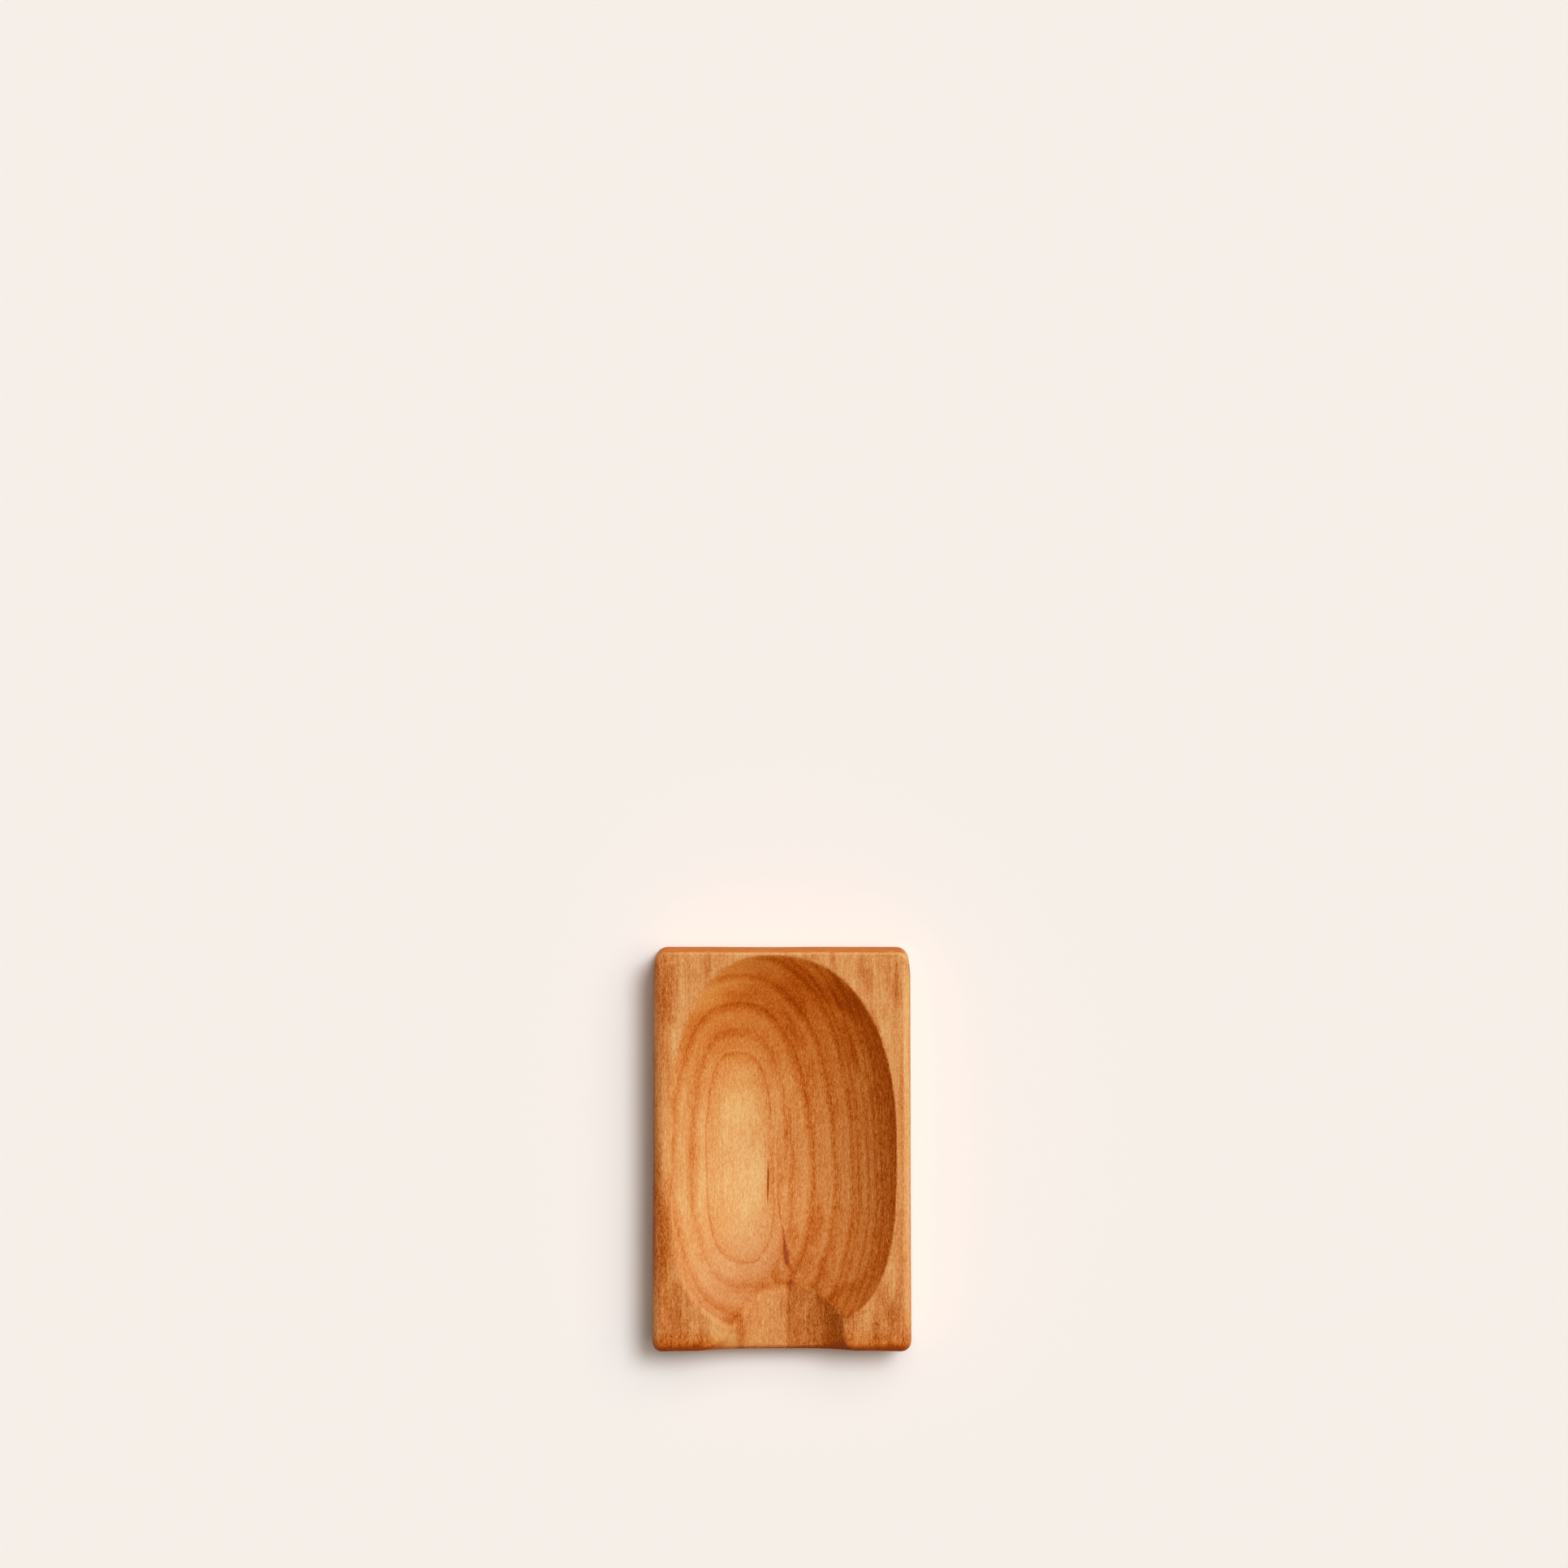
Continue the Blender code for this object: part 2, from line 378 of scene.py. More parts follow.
class CarvingTree:
    """Geometry nodes that turn a sphere into the carved block."""

    def __init__(self, blank: Blank, bowl: Bowl, channel: Channel, rings: Rings) -> None:
        """Make the tree with one named input for each size.

        Args:
            blank: Sizes of the block.
            bowl: Sizes of its bowl.
            channel: Sizes of its handle channel.
            rings: The mesh's fineness.
        """
        self.rings = rings
        self.tree = bpy.data.node_groups.new("carving", "GeometryNodeTree")
        self.values: dict[str, float] = {}
        self.size: dict[str, Field] = {}
        names: dict[str, str] = {}
        face = self.tree.interface
        face.new_socket("Geometry", in_out="INPUT", socket_type="NodeSocketGeometry")
        face.new_socket("Geometry", in_out="OUTPUT", socket_type="NodeSocketGeometry")
        for part in (blank, bowl, channel):
            for item in fields(part):
                name = item.name.replace("_", " ").capitalize()
                socket = face.new_socket(name, in_out="INPUT", socket_type="NodeSocketFloat")
                self.values[socket.identifier] = getattr(part, item.name)
                names[item.name] = name
        entry = self.tree.nodes.new("NodeGroupInput")
        for key, name in names.items():
            self.size[key] = Field(self.tree, entry.outputs[name])

    def half_width(self, y: Field) -> Field:
        """Half the block's width at a distance along its length."""
        size = self.size
        share = y / size["length"] + 0.5
        return share.blend(size["front_width"], size["back_width"]) * 0.5

    def rim(self, side: Field, along: Field) -> tuple[Field, Field, Field]:
        """Vector from the bowl's lowest point to its rim.

        Args:
            side: Cosine of the meridian's angle.
            along: Sine of the meridian's angle.

        Returns:
            The vector's two parts and its length.
        """
        size = self.size
        width = (size["front_width"] + size["back_width"]) * 0.25
        half = size["length"] * 0.5
        right = width - size["right_rim"] - size["shift_x"]
        left = width - size["left_rim"] + size["shift_x"]
        back = half - size["back_rim"] - size["shift_y"]
        front = half - size["front_rim"] + size["shift_y"]
        right_side = side.above(0.0)
        front_fullness = right_side.blend(size["front_left_fullness"], size["front_right_fullness"])
        back_fullness = right_side.blend(size["back_left_fullness"], size["back_right_fullness"])
        fullness = along.above(0.0).blend(front_fullness, back_fullness)
        stretch = (side.size() ** fullness + along.size() ** fullness) ** (fullness.inverse() * -1.0)
        x = stretch * side * right_side.blend(left, right)
        y = stretch * along * along.above(0.0).blend(front, back)
        return x, y, (x * x + y * y) ** 0.5

    def edge_distance(self, dx: Field, dy: Field, inset: Field) -> Field:
        """Distance from the bowl's lowest point to the block's outline, which has round corners.

        Args:
            dx: First part of the unit direction.
            dy: Second part of the unit direction.
            inset: How far inside the outline the line looked for lies.

        Returns:
            The distance.
        """
        size = self.size
        right, behind = dx.above(0.0), dy.above(0.0)
        back_corner = right.blend(size["back_left_corner"], size["back_right_corner"])
        front_corner = right.blend(size["front_left_corner"], size["front_right_corner"])
        radius = behind.blend(front_corner, back_corner)
        half_x = (size["front_width"] + size["back_width"]) * 0.25
        half_y = size["length"] * 0.5
        sign_x = right * 2.0 - 1.0
        sign_y = behind * 2.0 - 1.0
        tiny = 1e-5
        to_side = (half_x - inset - sign_x * size["shift_x"]) / dx.size().most(tiny)
        to_end = (half_y - inset - sign_y * size["shift_y"]) / dy.size().most(tiny)
        straight = to_side.least(to_end)
        past_x = (sign_x * (dx * straight + size["shift_x"])).above(half_x - radius)
        past_y = (sign_y * (dy * straight + size["shift_y"])).above(half_y - radius)
        corner_x = sign_x * (half_x - radius) - size["shift_x"]
        corner_y = sign_y * (half_y - radius) - size["shift_y"]
        reach = dx * corner_x + dy * corner_y
        off = corner_x * corner_x + corner_y * corner_y - reach * reach
        bend = radius - inset
        curved = reach + (bend * bend - off).most(0.0) ** 0.5
        return (past_x * past_y).blend(straight, curved)

    def channel_depth(self, x: Field, y: Field) -> Field:
        """Depth of the handle channel below the block's top, less than 0 beside it."""
        size = self.size
        front = size["length"] * -0.5
        aside = x - size["channel_x"]
        right = aside.above(0.0)
        length = right.blend(size["left_flare_length"], size["right_flare_length"])
        run = ((front + length - y) / length).most(0.0).least(1.0)
        open_share = 1.0 - (1.0 - run * run) ** 0.5
        width = right.blend(size["left"], size["right"])
        width = width + open_share * right.blend(size["left_flare"], size["right_flare"])
        fall = (aside.size() / width) ** right.blend(size["left_fullness"], size["right_fullness"])
        depth = size["depth"] * (1.0 - fall.least(2.0))
        return y.above(size["shift_y"]).blend(depth, size["depth"] * -1.0)

    def build(self, wood: OiledFruitwood) -> None:
        """Lay the sphere's points over the block.

        Args:
            wood: What the block is dressed in.
        """
        tree, size, rings = self.tree, self.size, self.rings
        ball = tree.nodes.new("GeometryNodeMeshUVSphere")
        ball.inputs["Segments"].default_value = rings.around
        ball.inputs["Rings"].default_value = rings.total()
        ball.inputs["Radius"].default_value = 1.0
        place = tree.nodes.new("GeometryNodeInputPosition")
        px, py, pz = split(tree, place.outputs[0])
        across = (px * px + py * py) ** 0.5
        at_pole = 1.0 - across.above(1e-4)
        side = at_pole.blend(px / across.most(1e-6), 1.0)
        along = at_pole.blend(py / across.most(1e-6), 0.0)
        ring = pz.most(-1.0).least(1.0).math("ARCCOSINE") * (rings.total() / math.pi)

        stops = [0, rings.bowl]
        for count in (rings.land, rings.top_edge, rings.side, rings.bottom_edge, rings.underside):
            stops.append(stops[-1] + count)
        zones = [ring.within(low, high) for low, high in zip(stops, stops[1:])]
        in_bowl, on_land, on_top_edge, on_side, on_bottom_edge, on_underside = zones
        level = 1.0 - (1.0 - in_bowl) ** LEVEL_POWER
        land = on_land ** LAND_POWER

        rim_x, rim_y, rim = self.rim(side, along)
        dx, dy = rim_x / rim, rim_y / rim
        outer = self.edge_distance(dx, dy, rim * 0.0)
        outer_x = dx * outer + size["shift_x"]
        outer_y = dy * outer + size["shift_y"]
        mouth = self.channel_depth(outer_x, outer_y)
        open_share = (mouth / size["depth"]).most(0.0)
        half = size["length"] * 0.5
        backness = outer_y.within(half - BACK_EASE_START, half - BACK_EASE_END).eased()
        frontness = (outer_y * -1.0).within(half - FRONT_EASE, half).eased()
        radius = open_share.blend(size["top_edge_radius"], size["mouth_edge_radius"])
        radius = backness.blend(radius, size["back_edge_radius"])
        quarter = math.pi / 2.0
        top_turn = on_top_edge * quarter
        bottom_turn = on_bottom_edge * quarter
        inset = radius * (1.0 - top_turn.math("SINE"))
        inset = inset + size["bottom_edge_radius"] * (1.0 - bottom_turn.math("COSINE"))
        inset = inset + size["back_lean"] * backness * (1.0 - on_side)
        middle = 1.0 - (outer_x / (size["front_width"] * 0.5)).size() ** 4.0
        inset = inset + size["front_hollow"] * frontness * middle.most(0.0)
        edge = self.edge_distance(dx, dy, inset)

        wander = EDGE_WAVES.field(side, along)
        edge = edge - (wander * 0.5 + 0.5) * size["edge_wander"]
        distance = (level * rim + land * (edge - rim)) * (1.0 - on_underside)
        x = dx * distance + size["shift_x"]
        y = dy * distance + size["shift_y"]
        mean = (size["front_width"] + size["back_width"]) * 0.25
        x = x * land.blend(1.0, self.half_width(y) / mean)

        softness = (1.0 - side) * 0.5
        rise = (distance / rim).most(0.0) ** size["wall_fullness"]
        bowl_depth = (size["height"] - size["floor_thickness"]) * (1.0 - rise)
        tool = TOOL_MARKS.field(x, y)
        bowl_depth = bowl_depth + tool * size["tool_wander"] * level.within(0.0, 1.0)
        hollow = bowl_depth.smooth_most(0.0, softness.blend(size["crisp_rim"], size["soft_rim"]))
        left_of_channel = (size["channel_x"] - x).above(0.0)
        side_ease = left_of_channel.blend(size["crisp_side"], size["soft_side"])
        hollow = hollow.smooth_most(self.channel_depth(x, y), side_ease)
        top = size["height"] - hollow
        z = top - radius * (1.0 - top_turn.math("COSINE"))
        z = on_side.blend(z, size["bottom_edge_radius"])
        z = z - size["bottom_edge_radius"] * bottom_turn.math("SINE")

        beside = self.channel_depth(x, y).most(0.0)
        soft = (size["channel_x"] - x).within(-8.0 * MM, 8.0 * MM)
        blur = soft.blend(0.2 * MM, 0.6 * MM)
        in_bowl = (bowl_depth - beside).within(blur * -1.0, blur) * (1.0 - on_land.above(0.2))
        in_channel = beside.within(0.0, soft.blend(0.4 * MM, 1.6 * MM)) * (1.0 - in_bowl)
        in_channel = in_channel * (1.0 - on_side.above(0.0))
        near_arch = 1.0 - (bowl_depth - beside).within(0.0, 1.1 * MM)
        kept = self.store(ball.outputs["Mesh"], "in_bowl", in_bowl)
        kept = self.store(kept, "in_channel", in_channel)
        kept = self.store(kept, "near_arch", near_arch * beside.within(0.0, 0.8 * MM))
        kept = self.store(kept, "rim_level", distance / rim)
        for name, field in wood.mark_fields(x * MM_PER_METRE, y * MM_PER_METRE).items():
            kept = self.store(kept, name, field)
        move = tree.nodes.new("GeometryNodeSetPosition")
        tree.links.new(kept, move.inputs["Geometry"])
        tree.links.new(join(tree, x, y, z), move.inputs["Position"])
        facing = tree.nodes.new("GeometryNodeInputNormal")
        nx, ny, _ = split(tree, facing.outputs[0])
        kept = self.store(move.outputs["Geometry"], "facing_x", nx)
        kept = self.store(kept, "facing_y", ny)

        smooth = tree.nodes.new("GeometryNodeSetShadeSmooth")
        tree.links.new(kept, smooth.inputs[0])
        real = tree.nodes.new("GeometryNodeRealizeInstances")
        tree.links.new(smooth.outputs[0], real.inputs[0])
        dress = tree.nodes.new("GeometryNodeSetMaterial")
        dress.inputs["Material"].default_value = wood.build()
        tree.links.new(real.outputs[0], dress.inputs["Geometry"])
        leave = tree.nodes.new("NodeGroupOutput")
        tree.links.new(dress.outputs[0], leave.inputs[0])

    def store(self, geometry: bpy.types.NodeSocket, name: str, value: Field) -> bpy.types.NodeSocket:
        """Keep a field on the mesh's points under a name.

        Args:
            geometry: The mesh so far.
            name: The attribute's name.
            value: What to keep.

        Returns:
            The mesh with the attribute.
        """
        node = self.tree.nodes.new("GeometryNodeStoreNamedAttribute")
        node.data_type = "FLOAT"
        node.domain = "POINT"
        self.tree.links.new(geometry, node.inputs["Geometry"])
        node.inputs["Name"].default_value = name
        self.tree.links.new(value.socket, node.inputs["Value"])
        return node.outputs["Geometry"]

    def mesh(self, name: str) -> bpy.types.Object:
        """Run the tree once and keep what it makes as a plain mesh.

        Args:
            name: The new object's name.

        Returns:
            The object, with no modifier left.
        """
        holder = bpy.data.objects.new(name + "_rule", bpy.data.meshes.new(name + "_rule"))
        bpy.context.scene.collection.objects.link(holder)
        rule = holder.modifiers.new("carving", "NODES")
        rule.node_group = self.tree
        for identifier, value in self.values.items():
            rule[identifier] = value
        graph = bpy.context.evaluated_depsgraph_get()
        mesh = bpy.data.meshes.new_from_object(
            holder.evaluated_get(graph), preserve_all_data_layers=True, depsgraph=graph)
        mesh.name = name
        bpy.data.objects.remove(holder, do_unlink=True)
        piece = bpy.data.objects.new(name, mesh)
        bpy.context.scene.collection.objects.link(piece)
        return piece


@dataclass(frozen=True)
class GrowthLine:
    """One dark line of the growth rings, with the tones of the wood beside it.

    Places are counted in rings from the pale heart of the bowl's floor.
    """

    place: float
    rise: float
    dark: float
    after: float
    reach: float
    step: float = 0.14


@dataclass(frozen=True)
class Oval:
    """A growth ring's outline in the bowl's floor and walls, in millimetres from its heart."""

    right: float
    left: float
    back: float
    front: float
    back_fullness: float
    front_fullness: float

    def reach(self, across: Field, along: Field, side: Field, end: Field) -> Field:
        """Distance from the heart to the outline.

        Args:
            across: Size of the direction's part across the block.
            along: Size of its part along the block.
            side: 1 to the right of the heart, otherwise 0.
            end: 1 behind the heart, otherwise 0.

        Returns:
            The distance.
        """
        fullness = end.blend(self.front_fullness, self.back_fullness)
        wide = (across / side.blend(self.left, self.right)) ** fullness
        deep = (along / end.blend(self.front, self.back)) ** fullness
        return (wide + deep) ** (fullness.inverse() * -1.0)


@dataclass(frozen=True)
class Mark:
    """A streak or patch that the wood shows from above, or a painted highlight or painted shade, in
    millimetres on the plan.
    """

    x: float
    y: float
    half_width: float
    half_length: float
    tone: float
    lean: float = 0.0

    def field(self, x: Field, y: Field) -> Field:
        """How much it lightens or darkens the wood at a place.

        Args:
            x: Place across the block.
            y: Place along it.

        Returns:
            The change of tone.
        """
        if self.lean:
            x = x - (y - self.y) * self.lean
        tree = x.tree
        scale = tree.nodes.new("ShaderNodeVectorMath")
        scale.operation = "MULTIPLY_ADD"
        tree.links.new(join(tree, x, y, 0.0), scale.inputs[0])
        scale.inputs[1].default_value = (1.0 / self.half_width, 1.0 / self.half_length, 0.0)
        scale.inputs[2].default_value = (-self.x / self.half_width, -self.y / self.half_length, 0.0)
        square = tree.nodes.new("ShaderNodeVectorMath")
        square.operation = "DOT_PRODUCT"
        tree.links.new(scale.outputs["Vector"], square.inputs[0])
        tree.links.new(scale.outputs["Vector"], square.inputs[1])
        fade = tree.nodes.new("ShaderNodeMapRange")
        fade.interpolation_type = "SMOOTHSTEP"
        tree.links.new(square.outputs["Value"], fade.inputs["Value"])
        fade.inputs["To Min"].default_value = self.tone
        fade.inputs["To Max"].default_value = 0.0
        return Field(tree, fade.outputs["Result"])


@dataclass(frozen=True)
class OiledFruitwood:
    """Solid oiled wood: growth rings, fibres, pores, end grain, a check and a gum streak, with painted
    highlights and painted shade on some edges and walls.
    """

    tones: tuple[tuple[float, tuple[float, float, float]], ...] = (
        (0.30, (0.300, 0.045, 0.0010)),
        (0.38, (0.400, 0.072, 0.0030)),
        (0.45, (0.480, 0.101, 0.0080)),
        (0.52, (0.530, 0.135, 0.0180)),
        (0.60, (0.593, 0.180, 0.0370)),
        (0.68, (0.643, 0.231, 0.0590)),
        (0.76, (0.688, 0.289, 0.0880)),
        (0.84, (0.722, 0.353, 0.1210)),
        (0.92, (0.755, 0.423, 0.1620)),
        (1.00, (0.790, 0.500, 0.2100)),
    )
    heart_x: float = -14.1
    heart_y: float = -11.1
    heart_lean: float = 0.02
    heart_tones: tuple[tuple[float, float], ...] = ((-0.8, 0.90), (0.0, 0.85), (0.5, 0.81))
    inner_oval: Oval = Oval(11.3, 12.1, 44.2, 28.6, 3.05, 2.73)
    outer_oval: Oval = Oval(39.5, 35.4, 79.5, 63.2, 2.51, 2.01)
    outer_ring: float = 5.0
    lines: tuple[GrowthLine, ...] = (
        GrowthLine(1.00, 0.80, 0.68, 0.825, 0.12, 0.08),
        GrowthLine(1.93, 0.85, 0.71, 0.79, 0.42, 0.12),
        GrowthLine(3.01, 0.83, 0.61, 0.74, 0.42, 0.12),
        GrowthLine(4.11, 0.80, 0.61, 0.71, 0.28, 0.12),
        GrowthLine(5.00, 0.77, 0.58, 0.68, 0.26, 0.09),
        GrowthLine(5.24, 0.69, 0.58, 0.68, 0.10, 0.10),
        GrowthLine(5.67, 0.72, 0.60, 0.69, 0.12, 0.12),
        GrowthLine(6.06, 0.69, 0.56, 0.63, 0.16, 0.09),
        GrowthLine(6.34, 0.62, 0.51, 0.58, 0.10, 0.10),
    )
    rim_ring: float = 7.2
    rim_ring_tone: float = 0.48
    first_ring: float = -1.0
    last_ring: float = 8.0
    long_grain_tone: float = 0.73
    right_wall_painted_shade: float = -0.083
    back_wall_painted_shade: float = -0.015
    end_wall_tone: float = -0.166
    rim_marks: tuple[Mark, ...] = (
        Mark(-40.9, 58.0, 5.5, 18.0, -0.16), Mark(-41.5, 40.0, 4.5, 32.0, -0.11),
        Mark(-31.3, 55.3, 5.0, 10.0, 0.03), Mark(-25.7, 64.8, 2.0, 7.5, -0.14),
        Mark(17.6, 68.0, 1.2, 4.5, -0.15), Mark(23.5, 65.5, 5.0, 11.0, 0.06),
        Mark(29.1, 60.6, 1.9, 10.0, -0.15, -0.244), Mark(34.4, 55.3, 3.2, 9.0, 0.08),
        Mark(38.6, 59.2, 3.2, 12.0, -0.14, -0.2), Mark(41.7, 0.0, 0.7, 60.0, -0.07),
        # Mark(43.2, 0.0): paler wood with a painted highlight along the right edge's roll
        Mark(43.2, 0.0, 1.8, 66.0, 0.07), Mark(-44.6, 46.0, 2.0, 16.0, 0.12),
        Mark(-44.4, 3.0, 2.4, 24.0, -0.11), Mark(-37.8, 36.2, 2.2, 8.0, 0.10),
        Mark(-42.8, -28.5, 7.5, 26.0, -0.26), Mark(-36.7, -62.2, 6.5, 10.0, -0.19),
        Mark(-21.8, -60.6, 4.8, 8.0, 0.08), Mark(-29.5, -58.5, 3.0, 8.0, -0.08),
        Mark(37.8, -45.3, 2.6, 12.0, 0.09), Mark(38.5, -63.0, 9.0, 10.0, -0.14),
        Mark(32.3, -61.0, 1.5, 8.5, -0.16), Mark(-29.6, -67.0, 1.4, 1.6, -0.22),
        Mark(-38.0, -51.0, 7.0, 8.0, -0.17), Mark(-43.0, 55.0, 2.5, 11.0, 0.06),
        # Mark(-18.5, -66.0): painted highlight on the channel's left shoulder, which faces the lamps
        Mark(-37.5, 42.0, 3.5, 9.0, 0.08), Mark(-18.5, -66.0, 5.0, 4.5, 0.18),
        Mark(-27.0, -64.5, 3.2, 6.0, -0.13), Mark(-42.5, -3.0, 2.2, 8.0, -0.10),
        Mark(-21.5, -60.5, 5.0, 2.4, -0.05), Mark(-26.0, -58.5, 2.4, 2.4, -0.10),
        Mark(-42.2, -58.0, 2.2, 3.5, -0.08), Mark(-41.2, -48.0, 1.6, 4.0, 0.11),
        Mark(-36.0, -66.0, 3.5, 3.0, 0.07), Mark(-30.0, -61.0, 2.2, 3.0, 0.08),
        Mark(-29.0, 61.0, 4.5, 4.0, -0.07), Mark(31.0, 62.0, 1.3, 6.5, -0.11, -0.15),
        Mark(33.0, 43.5, 1.1, 9.5, -0.13, -0.36), Mark(34.3, 44.5, 1.4, 6.0, 0.07, -0.2),
        Mark(24.0, 57.5, 1.8, 3.6, 0.09), Mark(-37.8, 45.5, 1.8, 2.3, -0.09),
        Mark(39.6, 63.0, 1.3, 6.0, -0.10), Mark(18.5, 63.2, 2.0, 2.2, -0.09),
        Mark(39.5, -55.5, 4.2, 5.0, -0.06), Mark(42.6, -37.0, 1.3, 2.6, -0.08),
        # Mark(42.7, 30.0): paler wood with a painted highlight along the right edge's roll
        Mark(42.7, 30.0, 1.2, 14.0, 0.06), Mark(11.0, 67.5, 1.8, 2.0, -0.12),
        Mark(5.8, 68.0, 1.8, 1.8, 0.11), Mark(26.0, -56.6, 1.7, 2.9, -0.12, 2.0),
        Mark(38.0, -48.0, 1.7, 3.6, 0.10), Mark(25.0, -64.5, 2.0, 3.0, 0.09),
        Mark(39.5, -65.0, 2.5, 3.0, 0.07), Mark(-33.5, 50.0, 1.9, 9.0, 0.07),
        # Mark(-13.0, 67.5): painted highlight on the back edge; Mark(22.5, -60.5): painted shade on the
        # rounding of the channel's right edge
        Mark(-13.0, 67.5, 5.5, 1.8, 0.12), Mark(22.5, -60.5, 4.5, 9.0, -0.17),
        Mark(37.0, -51.5, 6.0, 9.0, -0.15), Mark(35.6, 41.0, 2.5, 6.5, 0.10),
        # Mark(42.7, 48.0): paler wood with a painted highlight along the right edge's roll
        Mark(42.7, 48.0, 1.6, 21.0, 0.10), Mark(41.2, 22.0, 1.0, 14.0, -0.07),
        Mark(26.2, 63.0, 1.4, 6.0, -0.10), Mark(38.2, 61.0, 1.5, 6.0, 0.09),
        Mark(31.8, 65.0, 0.8, 5.5, 0.12, -0.12), Mark(36.2, 57.0, 0.8, 6.0, -0.10, -0.12),
    )
    channel_marks: tuple[Mark, ...] = (
        # Mark(-17.5, -66.0): painted highlight on the channel's left shoulder, which faces the lamps
        Mark(-14.5, -61.5, 2.6, 11.0, -0.19), Mark(-17.5, -66.0, 5.0, 4.5, 0.20),
        Mark(-10.0, -56.5, 3.5, 9.0, -0.09), Mark(5.6, -63.5, 1.4, 7.0, -0.12),
        Mark(12.8, -63.0, 1.8, 7.0, 0.07), Mark(1.9, -57.5, 1.5, 14.0, -0.11),
        Mark(3.8, -53.0, 1.3, 6.0, -0.05), Mark(8.4, -54.0, 1.6, 6.5, 0.09),
        Mark(0.0, -53.0, 1.6, 7.0, -0.07), Mark(-14.8, -58.5, 2.0, 2.8, -0.12),
        Mark(10.3, -60.0, 1.4, 12.0, -0.06), Mark(6.4, -60.0, 1.6, 12.0, 0.04),
    )
    # Front band at the top of the front edge: darker end grain and painted shade, as the edge faces away
    # from the lamps
    front_band_y: tuple[float, float] = (-61.5, -68.0)
    front_band_end_grain_and_shade: float = -0.175
